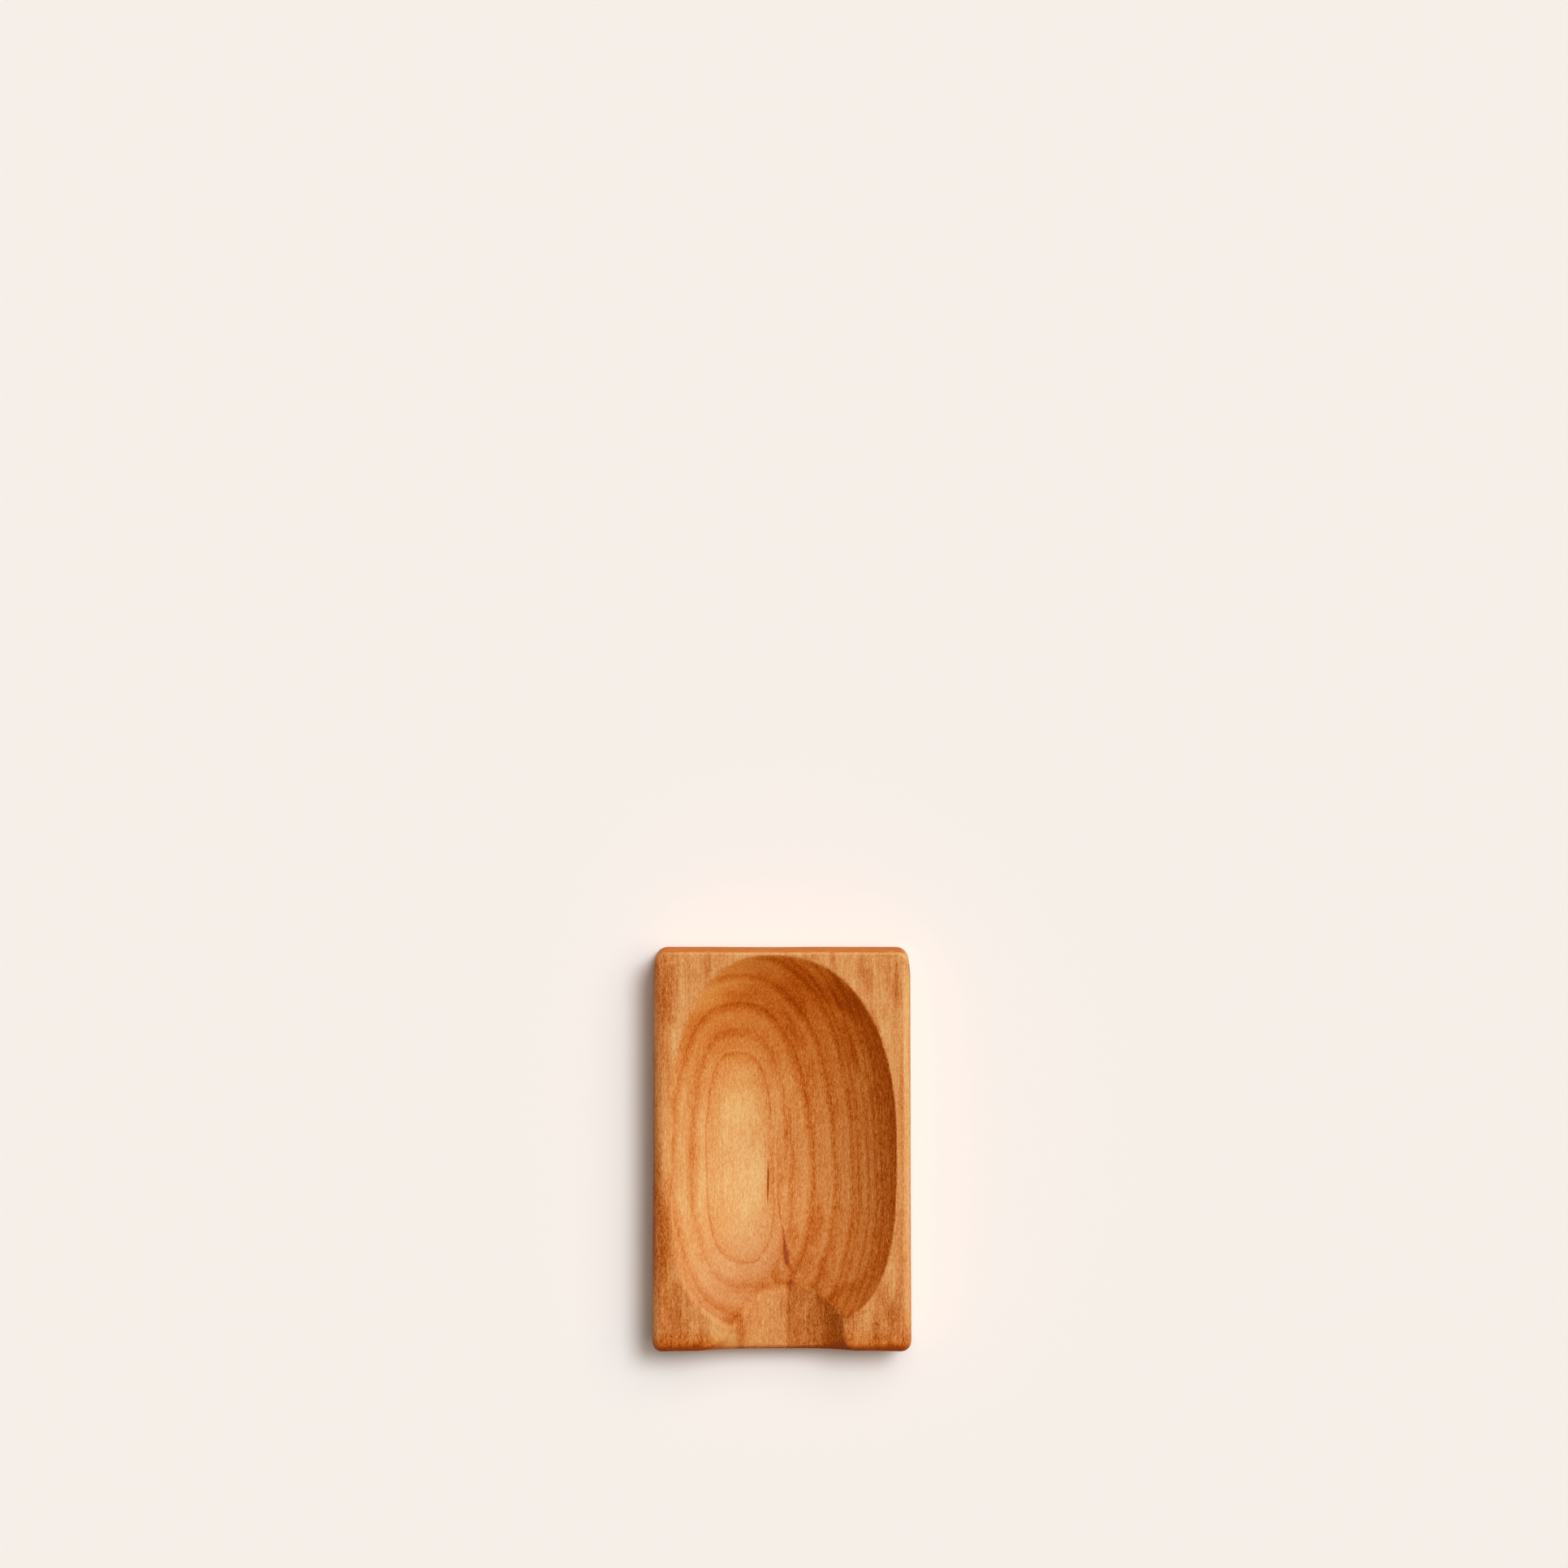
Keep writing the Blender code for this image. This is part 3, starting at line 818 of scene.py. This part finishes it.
    # Painted shade on the top of the front edge, paler wood with a painted highlight on the right edge,
    # a painted highlight on the back crest, and darker end grain on the back face
    front_edge_painted_shade: float = -0.21
    right_edge_pale_and_highlight: float = 0.05
    back_crest_painted_highlight: float = 0.09
    back_face_tone: float = -0.08
    bowl_marks: tuple[Mark, ...] = (
        Mark(-26.8, 54.0, 9.0, 9.0, 0.11), Mark(-17.0, 60.0, 9.0, 5.0, 0.08),
        Mark(3.2, 52.5, 6.0, 10.0, -0.10, -0.3), Mark(21.5, 53.5, 6.0, 10.0, -0.10, -0.5),
        Mark(12.0, 56.5, 6.0, 11.0, -0.09, -1.2), Mark(-0.1, 18.7, 5.0, 14.0, 0.10),
        Mark(-8.5, -10.0, 3.5, 16.0, 0.07), Mark(-31.0, -6.0, 3.2, 20.0, -0.14),
        Mark(-28.5, -38.5, 5.5, 11.0, 0.04), Mark(10.5, -40.5, 7.0, 9.0, -0.09),
        Mark(28.0, 27.0, 5.0, 12.0, 0.06), Mark(2.7, -40.0, 3.4, 7.5, -0.11),
        Mark(-39.2, -10.5, 1.7, 6.5, -0.11, -0.15), Mark(-27.3, 9.5, 2.6, 12.0, 0.06),
        Mark(-19.4, 9.0, 1.5, 13.0, 0.05), Mark(-31.7, 6.0, 1.5, 9.0, 0.06),
        Mark(10.5, 27.0, 2.6, 6.5, -0.07), Mark(-37.5, 38.0, 3.0, 5.0, 0.06),
        Mark(12.2, -26.5, 3.2, 8.5, -0.13, 0.15), Mark(-1.5, -44.5, 3.2, 3.8, -0.12),
        Mark(-17.0, -59.0, 5.0, 2.8, -0.15), Mark(-14.0, 26.0, 5.0, 3.5, 0.06),
        Mark(4.2, -30.5, 3.0, 5.5, -0.11), Mark(-1.0, -10.0, 1.3, 15.0, -0.10),
        Mark(1.2, 5.0, 1.1, 13.0, -0.08), Mark(4.1, 10.0, 1.6, 9.0, 0.07),
        Mark(-3.0, 5.0, 1.1, 8.0, 0.07), Mark(4.5, 41.0, 3.6, 9.0, -0.13, -0.55),
        Mark(6.5, 56.0, 2.4, 8.0, -0.10, -1.0), Mark(24.0, 36.0, 1.6, 12.0, -0.11, -0.35),
        Mark(-10.0, 55.0, 13.0, 4.0, -0.07), Mark(-20.0, 37.0, 7.0, 8.0, -0.06),
        Mark(-14.0, 15.0, 9.0, 10.0, 0.06), Mark(-35.5, 22.0, 3.0, 14.0, 0.08),
        Mark(-35.2, -8.0, 1.8, 10.0, -0.10), Mark(-22.0, -42.0, 8.0, 8.0, 0.05),
        Mark(16.0, -46.0, 3.6, 6.5, -0.08, -0.3), Mark(18.0, -36.0, 1.6, 9.0, -0.08),
        Mark(1.2, -7.0, 1.5, 7.0, -0.09), Mark(-13.0, -21.0, 3.5, 5.5, 0.05),
        Mark(10.0, 49.0, 6.0, 7.0, -0.05, -0.8), Mark(-33.0, 30.0, 3.0, 5.0, 0.05),
        Mark(25.0, -48.5, 3.0, 8.0, -0.10, 0.7), Mark(22.5, 26.0, 1.4, 9.0, 0.07),
        Mark(-10.5, 4.0, 2.6, 9.0, -0.04), Mark(-38.0, 9.0, 1.2, 6.5, 0.12),
        Mark(25.2, 29.0, 1.0, 8.5, -0.08, -0.12), Mark(22.5, 57.5, 1.8, 4.5, 0.11, -0.8),
        Mark(-15.5, 56.0, 5.0, 1.8, 0.06), Mark(-2.8, 49.0, 4.5, 4.5, -0.07, -0.4),
        Mark(0.0, -11.0, 1.3, 2.8, -0.10), Mark(0.2, 14.0, 1.1, 3.2, -0.10),
        Mark(10.0, -32.0, 1.8, 2.3, -0.11), Mark(-5.0, -48.6, 6.5, 2.3, -0.09),
        Mark(20.5, -49.0, 3.2, 5.0, -0.10, 1.0), Mark(7.7, -50.5, 1.9, 3.8, 0.12),
        Mark(19.5, 13.5, 1.3, 3.5, -0.07), Mark(19.5, -29.0, 1.3, 3.0, -0.07),
        Mark(1.6, 14.0, 1.1, 5.5, 0.06), Mark(-20.0, -13.5, 2.0, 4.5, 0.06),
        Mark(-32.5, -37.5, 1.4, 7.5, 0.07, -0.35), Mark(33.0, -45.5, 1.1, 5.0, 0.07, 0.5),
        Mark(-13.0, 63.5, 7.0, 3.0, 0.05), Mark(22.5, -57.0, 2.3, 4.0, -0.07),
        Mark(-14.8, -58.5, 2.0, 2.8, -0.12), Mark(-3.8, -10.0, 1.0, 11.0, -0.07),
        Mark(3.1, -14.5, 1.1, 11.0, -0.07),
    )
    check: tuple[Mark, ...] = (
        Mark(-4.85, -12.6, 0.38, 8.2, -0.68, 0.021), Mark(-4.9, -9.2, 0.45, 12.0, -0.08, 0.010),
    )
    gum_streak: tuple[Mark, ...] = (
        Mark(-0.9, -21.5, 0.40, 8.5, -0.20, -0.14), Mark(0.6, -30.8, 0.60, 4.5, -0.24, -0.14),
        Mark(1.4, -36.6, 1.35, 5.2, -0.27, -0.085), Mark(2.4, -40.6, 0.90, 2.8, -0.16, -0.35),
        Mark(3.2, -47.4, 2.30, 2.4, -0.12),
    )
    broad: Grain = Grain(8.0, 90.0, 4.4, 1.0)
    streak: Grain = Grain(2.2, 60.0, 8.4, 2.0, 0.6)
    hair: Grain = Grain(0.42, 22.0, 2.1, 2.0, 0.65)
    fine: Grain = Grain(0.36, 1.3, 6.6, 1.0, 0.6)
    speck: Grain = Grain(0.31, 0.42, 3.2, 1.0)
    pores: Grain = Grain(0.48, 0.58, 9.7, 1.0, 0.6)
    ragged: Grain = Grain(1.2, 30.0, 7.7, 2.0, 0.6)
    crinkle: Grain = Grain(2.5, 1.3, 6.1, 1.0)
    slow: Grain = Grain(13.0, 26.0, 1.3, 1.0)
    quick: Grain = Grain(3.0, 11.0, 5.9)
    uneven: Grain = Grain(30.0, 3.0, 2.7, 1.0)
    top_z: tuple[float, float] = (4.0, 12.0)
    seen_from_above_z: tuple[float, float] = (2.0, 5.0)
    front_band_z: tuple[float, float] = (14.0, 18.0)
    fibre_tones: tuple[float, float] = (0.85, 0.5)
    fibre_strengths: tuple[float, float] = (0.95, 1.45)
    gloss: float = 0.15
    gloss_tint: tuple[float, float, float, float] = (1.0, 0.62, 0.30, 1.0)
    relief: float = 0.5
    relief_depth: float = 0.05 * MM
    channel_shade_x: tuple[float, float] = (1.3, 2.3)
    channel_shade: float = -0.19
    channel_wall_x: tuple[float, float] = (11.0, 18.0)
    channel_wall_shade: float = -0.12
    pith_depth: float = 80.0
    layer_thickness: float = 2.1
    side_face_shade: float = 0.11
    late_wood_tone: float = -0.13
    roughness: float = 0.56
    end_grain_roughness: float = 0.35

    def ring_place(self, x: Field, y: Field) -> Field:
        """Which growth ring the carving has reached in the bowl.

        Args:
            x: Place across the block, in millimetres.
            y: Place along it.

        Returns:
            The count of rings from the heart.
        """
        dy = y - self.heart_y
        dx = x - self.heart_x + dy * self.heart_lean
        distance = (dx * dx + dy * dy + 1e-4) ** 0.5
        across, along = dx.size() / distance, dy.size() / distance
        side, end = dx.above(0.0), dy.above(0.0)
        inner = self.inner_oval.reach(across, along, side, end)
        outer = self.outer_oval.reach(across, along, side, end)
        past = distance - inner
        beyond = past / (outer - inner) * (self.outer_ring - 1.0)
        within = past / inner * 2.0
        place = past.above(0.0).blend(within, beyond) + 1.0
        return place + 0.14 * self.slow.field(x, y) + 0.045 * self.quick.field(x, y)

    def ring_tone(self, place: Field) -> Field:
        """Light or dark of the growth rings.

        Args:
            place: Count of rings from the heart.

        Returns:
            The tone.
        """
        stops = list(self.heart_tones)
        for line in self.lines:
            stops.append((line.place - line.reach, line.rise))
            stops.append((line.place, line.dark))
            stops.append((line.place + line.step, line.after))
        stops.append((self.rim_ring, self.rim_ring_tone))
        span = self.last_ring - self.first_ring
        tree = place.tree
        ramp = tree.nodes.new("ShaderNodeValToRGB")
        share = (place - self.first_ring) * (1.0 / span)
        tree.links.new(share.socket, ramp.inputs[0])
        elements = ramp.color_ramp.elements
        for _ in stops[2:]:
            elements.new(0.5)
        for element, (ring, tone) in zip(elements, stops):
            element.position = (ring - self.first_ring) / span
            element.color = (tone, tone, tone, 1.0)
        return Field(tree, ramp.outputs[0])

    def bowl_tone(self, x: Field, y: Field) -> Field:
        """Tone of the bowl before fibres: rings, darker where a wall cuts the fibres' ends, and painted
        shade on the walls that face away from the lamps.

        Args:
            x: Place across the block, in millimetres.
            y: Place along it.

        Returns:
            The tone.
        """
        place = self.ring_place(x, y)
        dx, dy = x - self.heart_x, y - self.heart_y
        distance = (dx * dx + dy * dy + 1e-4) ** 0.5
        side, along = dx / distance, dy / distance
        # Painted shade: the right and back walls, which face away from the lamps, darker and the left
        # and front walls lighter; the ends are also darker end grain
        wall = side * self.right_wall_painted_shade + along * self.back_wall_painted_shade
        wall = wall + along * along * self.end_wall_tone
        return self.ring_tone(place) + wall * place.within(0.3, 1.5)

    def long_grain(self, x: Field, y: Field, z: Field) -> Field:
        """Tone of the wood where it is cut along its fibres: straight streaks.

        Args:
            x: Place across the block, in millimetres.
            y: Place along it.
            z: Height.

        Returns:
            The tone.
        """
        streaks = 0.09 * self.broad.field(x, y, z) + 0.13 * self.streak.field(x, y, z)
        return streaks + self.long_grain_tone

    def layers(self, x: Field, z: Field) -> Field:
        """Growth layers cut square on the outer faces: flat arcs one above another.

        Args:
            x: Place across the block, in millimetres.
            z: Height.

        Returns:
            The change of tone, darkest in each layer's late wood.
        """
        dx, dz = x - self.heart_x, z + self.pith_depth
        uneven = self.uneven.field(x, z) * 0.45
        layer = (dx * dx + dz * dz) ** 0.5 * (1.0 / self.layer_thickness) + uneven
        share = layer.math("FRACT")
        late = share.within(0.45, 0.92) - share.within(0.92, 1.0)
        return late * self.late_wood_tone

    def marks(self, marks: tuple[Mark, ...], x: Field, y: Field) -> Field:
        """Sum of some marks' changes of tone."""
        total = marks[0].field(x, y)
        for mark in marks[1:]:
            total = total + mark.field(x, y)
        return total

    def mark_fields(self, x: Field, y: Field) -> dict[str, Field]:
        """Streaks, patches, painted highlights and painted shade that the mesh keeps on its points, for
        the material to read.

        With all of them as shader nodes the renderer ran out of stack space.

        Args:
            x: Place across the block, in millimetres.
            y: Place along it.

        Returns:
            Each attribute's name and its change of tone.
        """
        ragged = self.ragged.field(x, y) * 0.9
        return {
            "rim_marks": self.marks(self.rim_marks, x + ragged, y),
            "channel_marks": self.marks(self.channel_marks, x, y),
            "bowl_marks": self.marks(self.bowl_marks, x, y),
        }

    def build(self) -> bpy.types.Material:
        """Make the material.

        Returns:
            The finished material.
        """
        material = bpy.data.materials.new("oiled_fruitwood")
        material.use_nodes = True
        tree = material.node_tree
        shader = tree.nodes["Principled BSDF"]
        where = tree.nodes.new("ShaderNodeTexCoord")
        x, y, z = split(tree, where.outputs["Object"])
        x, y, z = x * MM_PER_METRE, y * MM_PER_METRE, z * MM_PER_METRE
        in_bowl = self.attribute(tree, "in_bowl")
        in_channel = self.attribute(tree, "in_channel")
        near_arch = self.attribute(tree, "near_arch")
        rim_level = self.attribute(tree, "rim_level")
        facing_x = self.attribute(tree, "facing_x")
        facing_y = self.attribute(tree, "facing_y")
        on_top = z.within(*self.top_z)

        straight = self.long_grain(x, y, z)
        # Painted light on the outer edges: a painted highlight on the back crest, paler wood with a
        # painted highlight on the right edge's roll, faces turned right a little lighter and faces
        # turned left a little darker, and painted shade on the top of the front edge, which faces away
        # from the lamps; the back face below the crest is darker end grain
        front_turn = facing_y * -1.0
        front_edge_shade_share = front_turn.within(0.0, 0.75) - front_turn.within(0.80, 1.0) * 0.75
        straight = straight + facing_x.within(0.25, 0.65) * self.right_edge_pale_and_highlight
        straight = straight + facing_x * 0.02 + front_edge_shade_share * self.front_edge_painted_shade
        straight = straight + facing_y.within(0.05, 0.30) * self.back_crest_painted_highlight
        straight = straight - facing_y.within(0.45, 0.85) * (self.back_crest_painted_highlight - self.back_face_tone)
        end_face = facing_y.size().within(0.60, 0.90) * (1.0 - in_bowl)
        side_face = facing_x.size().within(0.75, 0.95) * (1.0 - in_bowl)
        straight = straight + self.layers(x, z) * (end_face + side_face * 0.6)
        straight = straight - side_face * self.side_face_shade
        rims = self.attribute(tree, "rim_marks")
        # Front band: darker end grain and painted shade on the top of the front edge
        front_band = y.within(*self.front_band_y) * z.within(*self.front_band_z)
        rims = rims * (1.0 - end_face) + front_band * self.front_band_end_grain_and_shade
        straight = straight + rims * on_top * (1.0 - in_channel)
        shade = x.within(*self.channel_shade_x) * self.channel_shade
        shade = shade + x.within(*self.channel_wall_x) * self.channel_wall_shade
        straight = straight + (shade + self.attribute(tree, "channel_marks")) * in_channel
        # Painted shade in the crease where the bowl meets the channel, along the arch
        carved = self.bowl_tone(x, y) + self.attribute(tree, "bowl_marks") - near_arch * 0.15
        tone = in_bowl.blend(straight, carved)

        # Painted highlight along the roll and crest of the bowl's lower-left rim, which faces the lamps;
        # along the crest of the left rim it is darker
        lower_left = (x + 8.0).within(-4.0, -18.0) * y.within(-28.0, -46.0) * on_top
        roll = 1.0 - ((rim_level - 0.93) * (1 / 0.055)).size().least(1.0)
        crest = 1.0 - ((rim_level - 1.0) * (1 / 0.018)).size().least(1.0)
        tone = tone + (crest * 0.04 + roll * 0.08) * lower_left
        left_rim = x.within(-28.0, -34.0) * y.within(-2.0, -14.0) * y.within(-46.0, -36.0)
        tone = tone - crest * left_rim * 0.10

        end_cut = facing_y.size().within(0.08, 0.5)
        fine = self.fine.field(x, y, z)
        along_cut = 0.14 * self.hair.field(x, y, z) + 0.25 * fine + 0.20 * self.speck.field(x, y, z)
        across_cut = 0.23 * self.pores.field(x, y, z) + 0.06 * fine
        fibres = end_cut.blend(along_cut, across_cut) * (1.0 - end_face * 0.45)
        crinkle = self.crinkle.field(x, y) * 0.6
        seen_from_above = z.within(*self.seen_from_above_z)
        gum = self.marks(self.gum_streak, x + crinkle, y) * seen_from_above
        open_check = self.marks(self.check, x, y) * seen_from_above
        strength = tone.within(*self.fibre_tones).blend(*self.fibre_strengths)
        tone = tone + fibres * strength + gum + open_check

        ramp = tree.nodes.new("ShaderNodeValToRGB")
        tree.links.new(tone.socket, ramp.inputs[0])
        elements = ramp.color_ramp.elements
        for _ in self.tones[2:]:
            elements.new(0.5)
        for element, (place, colour) in zip(elements, self.tones):
            element.position = place
            element.color = (*colour, 1.0)
        # Painted shade in the bowl: walls facing away from the lamps (the back and right walls) get a
        # deeper, more saturated colour, and the front wall, which faces them, a paler painted sheen
        wall = (facing_y * -3.2).most(0.0).least(1.0) - ((facing_y - 0.12) * 5.0).most(0.0).least(0.8)
        wall = wall + (facing_x * -0.8).most(0.0)
        dark_rim = tone.within(0.75, 0.50) * -0.9 * (1.0 - end_face)
        # Saturation shift: outside the bowl, dark tones are less saturated and the front band and end
        # grain more; inside it, the painted wall shade above
        saturation_and_painted_shade = in_bowl.blend(dark_rim + front_band * 1.2 + end_face * 0.8, wall)
        red, green, blue = split(tree, ramp.outputs[0])
        colour = join(tree, red * (saturation_and_painted_shade * 0.05 + 1.0), green * (1.0 - saturation_and_painted_shade * 0.05),
                      blue * (1.0 - saturation_and_painted_shade * 0.36) - gum * 0.03)
        tree.links.new(colour, shader.inputs["Base Color"])
        rough = fibres.blend(self.roughness, self.roughness + 0.15) + end_face * self.end_grain_roughness
        tree.links.new(rough.socket, shader.inputs["Roughness"])
        shader.inputs["Specular IOR Level"].default_value = self.gloss
        shader.inputs["Specular Tint"].default_value = self.gloss_tint

        bump = tree.nodes.new("ShaderNodeBump")
        bump.inputs["Strength"].default_value = self.relief
        bump.inputs["Distance"].default_value = self.relief_depth
        tree.links.new((fibres * 2.0).socket, bump.inputs["Height"])
        tree.links.new(bump.outputs[0], shader.inputs["Normal"])
        return material

    def attribute(self, tree: bpy.types.NodeTree, name: str) -> Field:
        """Read a number that the mesh holds on its points."""
        node = tree.nodes.new("ShaderNodeAttribute")
        node.attribute_name = name
        return Field(tree, node.outputs["Fac"])


class CarvedBlock:
    """The spoon rest itself."""

    node = "carved_block"

    def __init__(self) -> None:
        """Take the block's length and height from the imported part."""
        low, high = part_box(self.node)
        self.blank = Blank(length=high[1] - low[1], height=high[2] - low[2])
        self.bowl = Bowl()
        self.channel = Channel()
        self.rings = Rings()

    def build(self) -> bpy.types.Object:
        """Carve and dress the block, and put it in the CAD node's place.

        Returns:
            The finished piece.
        """
        carving = CarvingTree(self.blank, self.bowl, self.channel, self.rings)
        carving.build(OiledFruitwood())
        piece = carving.mesh("spoon_rest_wood")
        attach(piece, "root")
        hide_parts(self.node)
        return piece


@dataclass(frozen=True)
class Lamp:
    """One lamp above the table."""

    name: str
    share: float
    spread: float
    tint: tuple[float, float, float]


@dataclass(frozen=True)
class Studio:
    """Pale paper floor, a soft lamp with a wide screen round it, and a little light all round."""

    paper: tuple[float, float, float] = (0.939, 0.880, 0.831)
    paper_lift: float = 0.02 * MM
    floor_radius: float = 6.0
    lamps: tuple[Lamp, ...] = (
        Lamp("soft_lamp", 0.45, math.radians(24.0), (0.94, 1.00, 1.12)),
        Lamp("wide_screen", 0.49, math.radians(68.0), (1.05, 1.00, 0.89)),
    )
    lamp_tilt: float = math.radians(29.5)
    lamp_bearing: float = math.radians(46.0)
    ambient: float = 0.04
    ambient_tint: tuple[float, float, float] = (1.05, 1.00, 0.89)

    def lay_floor(self) -> bpy.types.Object:
        """The paper, a hair above the block's underside so that the two don't coincide.

        Returns:
            The floor.
        """
        bpy.ops.mesh.primitive_circle_add(vertices=96, radius=self.floor_radius, fill_type="NGON",
                                          location=(0.0, 0.0, self.paper_lift))
        floor = bpy.context.active_object
        floor.name = "paper_floor"
        material = bpy.data.materials.new("paper")
        material.use_nodes = True
        shader = material.node_tree.nodes["Principled BSDF"]
        shader.inputs["Base Color"].default_value = (*self.paper, 1.0)
        shader.inputs["Roughness"].default_value = 1.0
        shader.inputs["Specular IOR Level"].default_value = 0.0
        floor.data.materials.append(material)
        return floor

    def hang_lamp(self, lamp: Lamp) -> bpy.types.Object:
        """Hang one lamp, high to the back right.

        Args:
            lamp: Its share of the light on the floor, and its spread.

        Returns:
            The lamp.
        """
        data = bpy.data.lights.new(lamp.name, "SUN")
        data.energy = lamp.share * math.pi / math.cos(self.lamp_tilt)
        data.color = lamp.tint
        data.angle = lamp.spread
        hung = bpy.data.objects.new(lamp.name, data)
        hung.rotation_euler = (-self.lamp_tilt, 0.0, -self.lamp_bearing)
        bpy.context.scene.collection.objects.link(hung)
        return hung

    def light_room(self) -> bpy.types.World:
        """Even light from all round, and a pale backdrop for the camera and for reflections.

        Returns:
            The world.
        """
        world = bpy.data.worlds.new("studio")
        bpy.context.scene.world = world
        world.use_nodes = True
        tree = world.node_tree
        tree.nodes.clear()
        leave = tree.nodes.new("ShaderNodeOutputWorld")
        rays = tree.nodes.new("ShaderNodeLightPath")
        seen = Field(tree, rays.outputs["Is Camera Ray"])
        seen = seen.most(Field(tree, rays.outputs["Is Glossy Ray"]))
        seen = seen.most(Field(tree, rays.outputs["Is Transmission Ray"]))
        light = tree.nodes.new("ShaderNodeBackground")
        light.inputs["Color"].default_value = (*self.ambient_tint, 1.0)
        light.inputs["Strength"].default_value = self.ambient
        backdrop = tree.nodes.new("ShaderNodeBackground")
        backdrop.inputs["Color"].default_value = (*self.paper, 1.0)
        mix = tree.nodes.new("ShaderNodeMixShader")
        tree.links.new(seen.socket, mix.inputs[0])
        tree.links.new(light.outputs[0], mix.inputs[1])
        tree.links.new(backdrop.outputs[0], mix.inputs[2])
        tree.links.new(mix.outputs[0], leave.inputs["Surface"])
        return world


@dataclass(frozen=True)
class Overhead:
    """The camera, straight above a spot behind the block."""

    pixels_per_metre: float = 3560.0
    block_pixel_x: float = 963.4
    block_pixel_y: float = 1418.7
    focal_length: float = 75.0
    sensor: float = 36.0

    def place(self, top: float) -> bpy.types.Object:
        """Put the camera where the photograph was taken from.

        Args:
            top: Height of the block's top.

        Returns:
            The camera.
        """
        width = PHOTO_SIZE / self.pixels_per_metre
        middle = PHOTO_SIZE / 2.0
        data = bpy.data.cameras.new("overhead")
        data.lens = self.focal_length
        data.sensor_width = self.sensor
        camera = bpy.data.objects.new("overhead", data)
        camera.location = (
            (middle - self.block_pixel_x) / self.pixels_per_metre,
            (self.block_pixel_y - middle) / self.pixels_per_metre,
            top + width * self.focal_length / self.sensor,
        )
        bpy.context.scene.collection.objects.link(camera)
        bpy.context.scene.camera = camera
        return camera


def main() -> None:
    """Build the piece and the studio, and note the sizes."""
    bpy.context.scene.view_settings.view_transform = "Standard"
    block = CarvedBlock().build()
    log.info("%s: %d faces", block.name, len(block.data.polygons))
    studio = Studio()
    hung = [studio.hang_lamp(lamp) for lamp in studio.lamps]
    for item in (studio.lay_floor(), *hung, studio.light_room()):
        log.info("%s placed", item.name)
    camera = Overhead().place(CAD_BOX[1][2])
    log.info("%s at %.3f m", camera.name, camera.location.z)


if __name__ == "__main__":
    logging.basicConfig(level=logging.INFO)
    main()
